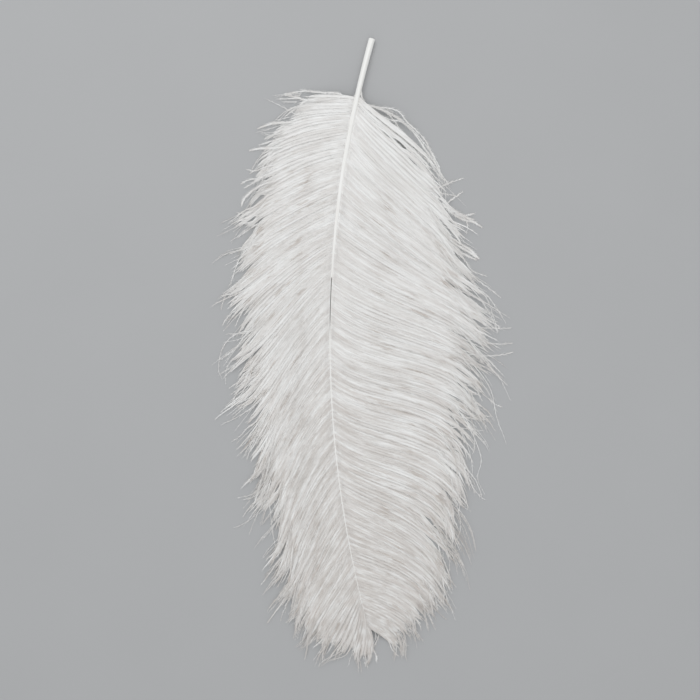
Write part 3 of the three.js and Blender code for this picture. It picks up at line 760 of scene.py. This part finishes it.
def barb_material(colours):
    """Matt keratin barbs, washed and bleached: near white, with long soft warm grey streaks 2 to 6 mm wide
    at the rachis, partly random tone and partly painted shade between strands, finer ones about a barb
    wide, and less common brown-grey ones of painted shade between the locks, faint at the rachis and at the
    quill's end.
    The whole gets a little greyer towards the plume's tip."""
    material, tree = new_material(BARB_FINISH)
    # Broad and line streaks: partly random tone, partly painted shade between strands and locks
    broad = streaks(tree, BARB_SPAN / 60, VANE_SPAN / 5.5, 0.42, 0.72)
    line = streaks(tree, BARB_SPAN / 45, VANE_SPAN / 2.3, 0.38, 0.68, shift=7.3, detail=1.0)
    fine = streaks(tree, BARB_SPAN / 25, VANE_SPAN / 1.1, 0.4, 0.7, shift=5.9, detail=1.0)
    # Painted shade: brown-grey streaks that stand in for the shade between the locks
    lock_shade = streaks(tree, BARB_SPAN / 30, VANE_SPAN / 3.4, 0.6, 0.76, shift=3.1)
    # Where the painted shade between the locks shows: stronger away from the rachis, faint at the quill's
    # end
    below_top = ramp(tree, "Y", 0.02, 0.16, 0.1, 1.0)
    lock_shade_mask = times(tree, ramp(tree, "X", 0.04, 0.3, 0.3, 1.0), below_top)
    lined = add_node(tree, "ShaderNodeMapRange", {"Value": fine, "To Min": 0.6, "To Max": 1.3})
    lock_shade_mask = times(tree, lock_shade_mask, lined.outputs["Result"])
    # Painted shade in part: the warm grey streak colour, laid on by the broad and line streaks
    colour = tinted(tree, (*colours.barb_white, 1), colours.barb_streak_and_shade, broad, 0.5)
    colour = tinted(tree, colour, colours.barb_streak_and_shade, line, ramp(tree, "Y", 0.0, 0.22, 0.3, 0.65))
    colour = tinted(tree, colour, colours.barb_tone_and_shade, fine, ramp(tree, "Y", 0.3, 0.7, 0.2, 0.4))
    colour = tinted(tree, colour, colours.barb_tone_and_shade, line, ramp(tree, "Y", 0.35, 0.7, 0.0, 0.3))
    # Painted shade between the locks, in brown-grey
    colour = tinted(tree, colour, colours.barb_tone_and_shade, lock_shade, lock_shade_mask)
    colour = tinted(tree, colour, colours.barb_tone_and_shade, ramp(tree, "Y", 0.6, 1.0, 0.0, 1.0), 0.15)
    finish_surface(tree, {
        "Base Color": colour, "Roughness": 0.62, "IOR": 1.54, "Specular IOR Level": 0.3,
        "Sheen Weight": 0.2, "Sheen Roughness": 0.5})
    return material


def quill_material(colours, gap_shadow):
    """Satin keratin, scraped clean: off-white with fine lengthwise streaks and shallow ridges. Its crown
    has a soft highlight and, between the two given places, a dark thin line of painted shadow for the
    shaded gap beside the rachis."""
    material, tree = new_material("satin_quill_keratin")
    soft = streaks(tree, 14, 26, 0.4, 0.75)
    lines = streaks(tree, 5, 60, 0.35, 0.7, shift=2.7)
    colour = tinted(tree, (*colours.quill_white, 1), colours.quill_streak, soft, 1.0)
    end, start = gap_shadow
    # Painted shadow: a dark thin line on the crown, standing in for the shaded gap beside the rachis
    mask = ramp(tree, "X", start, start + 0.004, 0, 1)
    for axis, edges in (("X", (end - 0.03, end + 0.01, 1, 0)), ("Y", (0.46, 0.475, 0, 1)),
                        ("Y", (0.525, 0.54, 1, 0))):
        mask = times(tree, mask, ramp(tree, axis, *edges))
    colour = tinted(tree, colour, colours.gap_shadow_dark, mask, 1.0)
    bump = add_node(tree, "ShaderNodeBump", {"Height": lines, "Strength": 0.35, "Distance": 0.0001})
    gloss = add_node(tree, "ShaderNodeMapRange", {"Value": soft, "To Min": 0.32, "To Max": 0.44})
    finish_surface(tree, {
        "Base Color": colour, "Roughness": gloss.outputs["Result"], "IOR": 1.54,
        "Normal": bump.outputs["Normal"]})
    return material


def floor_material(colour):
    """Smooth pale paper backdrop, slightly mottled so that it doesn't look like a flat fill."""
    material, tree = new_material("pale_backdrop_paper")
    place = add_node(tree, "ShaderNodeTexCoord")
    noise = add_node(tree, "ShaderNodeTexNoise", {
        "Vector": place.outputs["Object"], "Scale": 9.0, "Detail": 3.0})
    tone = add_node(tree, "ShaderNodeMapRange", {
        "Value": noise.outputs["Fac"], "To Min": 0.98, "To Max": 1.02})
    toned = add_node(tree, "ShaderNodeVectorMath", {
        0: tuple(colour), 1: tone.outputs["Result"]}, operation="MULTIPLY")
    finish_surface(tree, {
        "Base Color": toned.outputs[0], "Roughness": 0.85, "Specular IOR Level": 0.2})
    return material


def finish_piece(piece, node=None):
    """The piece rides on the body and may stand for a CAD node, whose part is then hidden."""
    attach(piece, BODY)
    if node:
        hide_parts(node)


def add_blades(name, material, courses, share, place, width, thickness, tilt, strip, node=None):
    """A piece of blades, one along each course."""
    rings, tips = blades(courses, width, thickness, tilt)
    uv, uv_tips = blade_uv(share, place, strip)
    finish_piece(swept_mesh(name, rings, tips, uv, uv_tips, material), node)


def count_setting(name, description, default, smallest):
    """A whole number of the sidebar."""
    return IntProperty(name=name, description=description, default=default, min=smallest)


def length_setting(name, description, default, smallest):
    """A length of the sidebar, in metres, whose default and minimum are given in millimetres."""
    return FloatProperty(
        name=name, description=description, default=default * MM, min=smallest * MM, unit="LENGTH")


def colour_setting(name, description, code):
    """A colour of the sidebar, with a hex colour as its default."""
    return FloatVectorProperty(
        name=name, description=description, subtype="COLOR", default=srgb(code), min=0, max=1)


class PlumeShape(PropertyGroup):
    """How many barbs and barbules the plume has, and how thick they are."""

    barb_count: count_setting("Barbs a side", "Fine barbs on each side of the rachis", 600, 50)
    under_count: count_setting("Under-barbs a side", "Broad barbs under the fine ones", 230, 20)
    wisp_count: count_setting("Wisps a side", "Single barb tips that stray past the edges", 300, 0)
    barbule_count: count_setting("Barbules a side", "Barbules on the fine barbs of each side", 72000, 0)
    barb_width: length_setting("Barb width", "Width of a fine barb with its down", 1.5, 0.1)
    under_width: length_setting("Under-barb width", "Width of an under-barb", 4.2, 0.5)
    barbule_length: length_setting("Barbule length", "Length of the longest barbules", 8, 1)


class PlumeColours(PropertyGroup):
    """The plume's colours."""

    barb_white: colour_setting("Barb white", "The barbs' main colour", "#F9F9F8")
    # Partly random tone, partly painted shade between strands and locks
    barb_streak_and_shade: colour_setting("Barb streak", "Warm grey streaks in the vanes", "#E4E1DE")
    # Brown-grey: painted shade between the locks, and also faint random tone and the greying towards the
    # tip
    barb_tone_and_shade: colour_setting("Barb tint", "A few faint brown tints", "#CBC3BC")
    quill_white: colour_setting("Quill white", "The quill's main colour", "#FBFBF9")
    quill_streak: colour_setting("Quill streak", "Fine lengthwise streaks in the quill", "#EFEDE8")
    # Painted shadow: the colour of the dark line on the rachis's crown, for the shaded gap beside it
    gap_shadow_dark: colour_setting("Split", "The dark line in the rachis's crown", "#4A4642")


class PlumeStage(PropertyGroup):
    """The floor, the lights and the camera."""

    floor_colour: colour_setting("Floor", "Colour of the backdrop paper", "#B6B7B8")
    fill: FloatProperty(
        name="Fill light", description="Strength of the pale surroundings", default=0.66, min=0)
    key_power: FloatProperty(
        name="Key light", description="Power of the large light at the quill's end", default=5.2, min=0,
        unit="POWER")
    top_power: FloatProperty(
        name="Top light", description="Power of the broad light overhead", default=4.65, min=0,
        unit="POWER")
    lens: FloatProperty(
        name="Lens", description="Focal length of the camera", default=85, min=10,
        subtype="DISTANCE_CAMERA")


def area_light(name, place, target, size, power):
    """A square soft light at a place, facing a target."""
    data = bpy.data.lights.new(name, "AREA")
    data.size = size
    data.energy = power
    light = add_object(name, data)
    light.location = place
    light.rotation_euler = (target - place).to_track_quat("-Z", "Y").to_euler()


class PLUME_OT_stage(Operator):
    """Lay the pale floor, hang the soft lights and set the camera straight above the plume"""

    bl_idname = "plume.stage"
    bl_label = "Floor, lights and camera"

    def execute(self, context):
        settings = context.scene.plume_stage
        half = FLOOR_SIZE / 2
        mesh = bpy.data.meshes.new("floor")
        corners = [(-half, -half, 0), (half, -half, 0), (half, half, 0), (-half, half, 0)]
        mesh.from_pydata(corners, [], [(0, 1, 2, 3)])
        mesh.materials.append(floor_material(settings.floor_colour))
        floor = add_object("floor", mesh)

        middle = Vector((PICTURE_MIDDLE + SHIFT) * MM)
        area_light("key", middle + Vector(KEY_PLACE), middle, KEY_SIZE, settings.key_power)
        area_light("top", middle + Vector(TOP_PLACE), middle, TOP_SIZE, settings.top_power)

        world = bpy.data.worlds.new("pale_surroundings")
        world.use_nodes = True
        background = world.node_tree.nodes["Background"]
        background.inputs["Color"].default_value = SURROUNDINGS
        background.inputs["Strength"].default_value = settings.fill
        context.scene.world = world
        context.scene.view_settings.view_transform = "Standard"

        data = bpy.data.cameras.new("camera")
        data.lens = settings.lens
        data.sensor_width = SENSOR
        camera = add_object("camera", data)
        distance = PICTURE_WIDTH * MM * settings.lens / SENSOR
        camera.location = middle + Vector((0, 0, distance))
        context.scene.camera = camera
        return {"FINISHED"}


def shaft_surface():
    """The shaft as rings about its middle line: from the floor of the hollow, round the rim and down to a
    point. A ring's radius is the shaft's radius times its share of it and a ripple of two sines, less a
    groove beneath that is a bell curve of the angle. Returns the rings' heights in the plan, the rings,
    the point and u, which grows with the distance along the middle line and ends at 0.99."""
    hollow = np.linspace(HOLLOW_DEPTH, RIM_ROUND, HOLLOW_STATIONS)
    rim = np.linspace(0, np.pi, RIM_STATIONS)[1:-1]
    length = QUILL_END_Y - RACHIS_TIP_Y
    outside = np.linspace(0, 1, SHAFT_STATIONS)[1:] * (length - RIM_ROUND) + RIM_ROUND
    back = np.concatenate([hollow, RIM_ROUND * (1 - np.sin(rim)), outside])
    share = np.concatenate([
        np.full_like(hollow, 1 - QUILL_WALL),
        1 - QUILL_WALL / 2 - QUILL_WALL / 2 * np.cos(rim),
        np.ones_like(outside)])
    y = QUILL_END_Y - back
    centre, across, up = shaft_frame(y)
    turn = np.arange(SHAFT_SIDES) * 2 * np.pi / SHAFT_SIDES - np.pi / 2
    in_vane = smoothstep(VANE_START_Y - y, *GROOVE_FADE)[:, None]
    from_beneath = (turn + np.pi / 2 + np.pi) % (2 * np.pi) - np.pi
    beneath = np.exp(-from_beneath ** 2 / (2 * GROOVE_SPREAD ** 2))
    groove = 1 - GROOVE_DEPTH * in_vane * beneath
    ripple = 0.985 + 0.009 * np.sin(back / 23) + 0.006 * np.sin(back / 9.1 + 1)
    radius = (shaft_radius(y) * share * ripple)[:, None] * groove
    flat = 1 - FLATTER_IN_VANE * in_vane
    rings = centre[:, None] + across[:, None] * (radius * np.cos(turn))[..., None]
    rings = rings + up[:, None] * (radius * flat * np.sin(turn))[..., None]
    tip = shaft_centre(np.array([RACHIS_TIP_Y - POINT_PAST_TIP]))
    u = np.cumsum(np.linalg.norm(np.diff(centre, axis=0, prepend=centre[:1]), axis=1)
                  + 0.3 * np.abs(np.diff(share, prepend=share[0])) + 0.01)
    u = u / u[-1] * 0.99
    return y, rings, tip, u


class PLUME_OT_shaft(Operator):
    """Loft the quill and rachis, with a hollow cut end and a groove along the rachis's underside"""

    bl_idname = "plume.shaft"
    bl_label = "Quill and rachis"

    def execute(self, context):
        y, rings, tip, u = shaft_surface()
        columns = np.arange(SHAFT_SIDES + 1) / SHAFT_SIDES
        uv = np.stack(np.broadcast_arrays(u[:, None], columns[None]), axis=-1)
        # Where the painted shadow line on the crown begins and ends, in u
        gap_shadow_uv = np.interp((GAP_SHADOW_FROM, GAP_SHADOW_TO), y[::-1], u[::-1])
        piece = swept_mesh("quill_and_rachis", rings[None], tip, uv[None], np.array([[1.0, 0.5]]),
                           quill_material(context.scene.plume_colours, gap_shadow_uv), smooth=True)
        finish_piece(piece, "shaft")
        return {"FINISHED"}


def fine_barbs(vane, shape):
    """The fine barbs of one side, from the same draws each time they are asked for."""
    rng = np.random.default_rng(SEEDS["barbs"] + vane.side)
    place = (np.arange(shape.barb_count) + rng.uniform(0.1, 0.9, shape.barb_count)) / shape.barb_count
    courses, share = vane.courses(rng, place, BARB_STATIONS, hairs=0.16)
    along = np.linspace(0, 1, BARB_STATIONS)
    taper = lerp(0.6, 1.0, smoothstep(along, 0, 0.25)) * (1 - 0.8 * along ** 4)
    width = shape.barb_width / MM * taper * rng.uniform(0.75, 1.2, len(place))[:, None]
    tilt = np.radians(rng.uniform(-8, 8, len(place)))
    return courses, share, place, width, tilt


class PLUME_OT_barbs(Operator):
    """Grow the fine barbs and the broad under-barbs on both sides"""

    bl_idname = "plume.barbs"
    bl_label = "Barbs of both vanes"

    def execute(self, context):
        shape = context.scene.plume_shape
        material = bpy.data.materials.get(BARB_FINISH) or barb_material(context.scene.plume_colours)
        for name in SIDES:
            vane = Vane(name)
            courses, share, place, width, tilt = fine_barbs(vane, shape)
            add_blades(name + "_vane_barbs", material, courses, share, place, width, 0.16 * width, tilt,
                       0.8 / len(place), name + "_vane")

            rng = np.random.default_rng(SEEDS["under_barbs"] + vane.side)
            count = shape.under_count
            place = lerp(UNDER_FROM[name], 1, (np.arange(count) + 0.5) / count)
            courses, share = vane.courses(
                rng, place, UNDER_STATIONS, reach=(0.89, 0.97), loose=0.8, comb=0.2)
            courses[..., 2] = np.maximum(courses[..., 2] - UNDER_SUNK, UNDER_LOWEST)
            along = np.linspace(0, 1, UNDER_STATIONS)
            taper = lerp(0.5, 1.0, smoothstep(along, 0, 0.3)) * (1 - along ** 9)
            width = np.maximum(shape.under_width / MM * taper, 0.05)[None] * np.ones((count, 1))
            tilt = np.radians(rng.uniform(-10, 10, count))
            add_blades(name + "_vane_under_barbs", material, courses, share, place, width,
                       0.12 * width + 0.1, tilt, 0.9 / count)
        return {"FINISHED"}


class PLUME_OT_barbules(Operator):
    """Set the barbules on the fine barbs, in two pieces a side"""

    bl_idname = "plume.barbules"
    bl_label = "Barbules of both vanes"

    def execute(self, context):
        shape = context.scene.plume_shape
        material = bpy.data.materials[BARB_FINISH]
        longest = shape.barbule_length / MM
        for name in SIDES:
            vane = Vane(name)
            courses, share, place, width, _ = fine_barbs(vane, shape)
            for part in (1, 2):
                rng = np.random.default_rng(SEEDS["barbules"] + 10 * part + vane.side)
                made = barbules(rng, courses, share, place, width, shape.barbule_count // 2,
                                (0.4 * longest, longest), (7, 22))
                finish_piece(swept_mesh(f"{name}_vane_barbules_{part}", *made, material))
        return {"FINISHED"}


def smooth_course(points, stations):
    """A Catmull-Rom curve through points, at even steps of its parameter."""
    padded = np.concatenate([2 * points[:1] - points[1:2], points, 2 * points[-1:] - points[-2:-1]])
    spot = np.linspace(0, len(points) - 1, stations)
    k = np.minimum(spot.astype(int), len(points) - 2)
    t = (spot - k)[:, None]
    a, b, c, d = padded[k], padded[k + 1], padded[k + 2], padded[k + 3]
    cubic = 3 * b - a - 3 * c + d
    return 0.5 * (2 * b + (c - a) * t + (2 * a - 5 * b + 4 * c - d) * t ** 2 + cubic * t ** 3)


class PLUME_OT_loose_barbs(Operator):
    """Add the single barbs that stray from the edges, and their down"""

    bl_idname = "plume.loose_barbs"
    bl_label = "Loose barbs and wisps"

    def execute(self, context):
        shape = context.scene.plume_shape
        material = bpy.data.materials[BARB_FINISH]
        along = np.linspace(0, 1, LOOSE_STATIONS)
        courses = []
        for start, _, course in LOOSE_BARBS:
            plan = smooth_course(np.array(course, dtype=float), LOOSE_STATIONS)
            height = lerp(start, LOOSE_REST_HEIGHT, smoothstep(along, 0, 0.75))
            courses.append(np.column_stack([plan, height]))
        courses = np.array(courses)
        down = np.array([downy for _, downy, _ in LOOSE_BARBS])
        count = len(courses)
        # Their strips lie side by side in the first tenth of the unrolled vane
        place = 0.1 * (np.arange(count) + 0.5) / count
        share = np.repeat(along[None], count, axis=0)
        width = LOOSE_WIDTH * (1 - 0.75 * along)[None] * np.ones((count, 1))
        add_blades("loose_barbs", material, courses, share, place, width, 0.5 * width, np.zeros(count),
                   0.05 / count)
        rng = np.random.default_rng(SEEDS["loose"])
        made = barbules(rng, courses, share, place, width, LOOSE_BARBULES, (2, 6), (8, 34), down=down)
        finish_piece(swept_mesh("loose_barbules", *made, material))

        along = np.linspace(0, 1, WISP_STATIONS)
        for name in SIDES:
            vane = Vane(name)
            rng = np.random.default_rng(SEEDS["wisps"] + vane.side)
            place = 1 - rng.uniform(0, 1, shape.wisp_count) ** 1.4
            courses, share = vane.courses(
                rng, place, WISP_STATIONS, start=0.7, reach=(0.94, 1.04), stray=9, lift=0.8,
                locks=vane.tufts)
            width = WISP_WIDTH * (1 - 0.7 * along)[None] * rng.uniform(0.7, 1.1, len(place))[:, None]
            add_blades(name + "_wisps", material, courses, share, place, width, 0.5 * width,
                       np.zeros(len(place)), 0.8 / len(place))
            made = barbules(rng, courses, share, place, width, WISP_BARBULES, (2, 4.5), (8, 35))
            finish_piece(swept_mesh(name + "_wisp_barbules", *made, material))
        return {"FINISHED"}


STEPS = (PLUME_OT_stage, PLUME_OT_shaft, PLUME_OT_barbs, PLUME_OT_barbules, PLUME_OT_loose_barbs)


class PLUME_PT_sidebar(Panel):
    """The plume's settings and steps."""

    bl_idname = "PLUME_PT_sidebar"
    bl_label = "Ostrich plume"
    bl_space_type = "VIEW_3D"
    bl_region_type = "UI"
    bl_category = "Plume"

    def draw(self, context):
        column = self.layout.column()
        for step in STEPS:
            column.operator(step.bl_idname)
        for group in (context.scene.plume_shape, context.scene.plume_colours, context.scene.plume_stage):
            for name in group.__annotations__:
                column.prop(group, name)


GROUPS = {"plume_shape": PlumeShape, "plume_colours": PlumeColours, "plume_stage": PlumeStage}


def register():
    for kind in (*GROUPS.values(), *STEPS, PLUME_PT_sidebar):
        bpy.utils.register_class(kind)
    for name, kind in GROUPS.items():
        setattr(bpy.types.Scene, name, PointerProperty(type=kind))


def unregister():
    for name in GROUPS:
        delattr(bpy.types.Scene, name)
    for kind in reversed((*GROUPS.values(), *STEPS, PLUME_PT_sidebar)):
        bpy.utils.unregister_class(kind)


def main():
    """Register the add-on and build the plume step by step."""
    register()
    bpy.ops.plume.stage()
    bpy.ops.plume.shaft()
    bpy.ops.plume.barbs()
    bpy.ops.plume.barbules()
    bpy.ops.plume.loose_barbs()


if __name__ == "__main__":
    main()
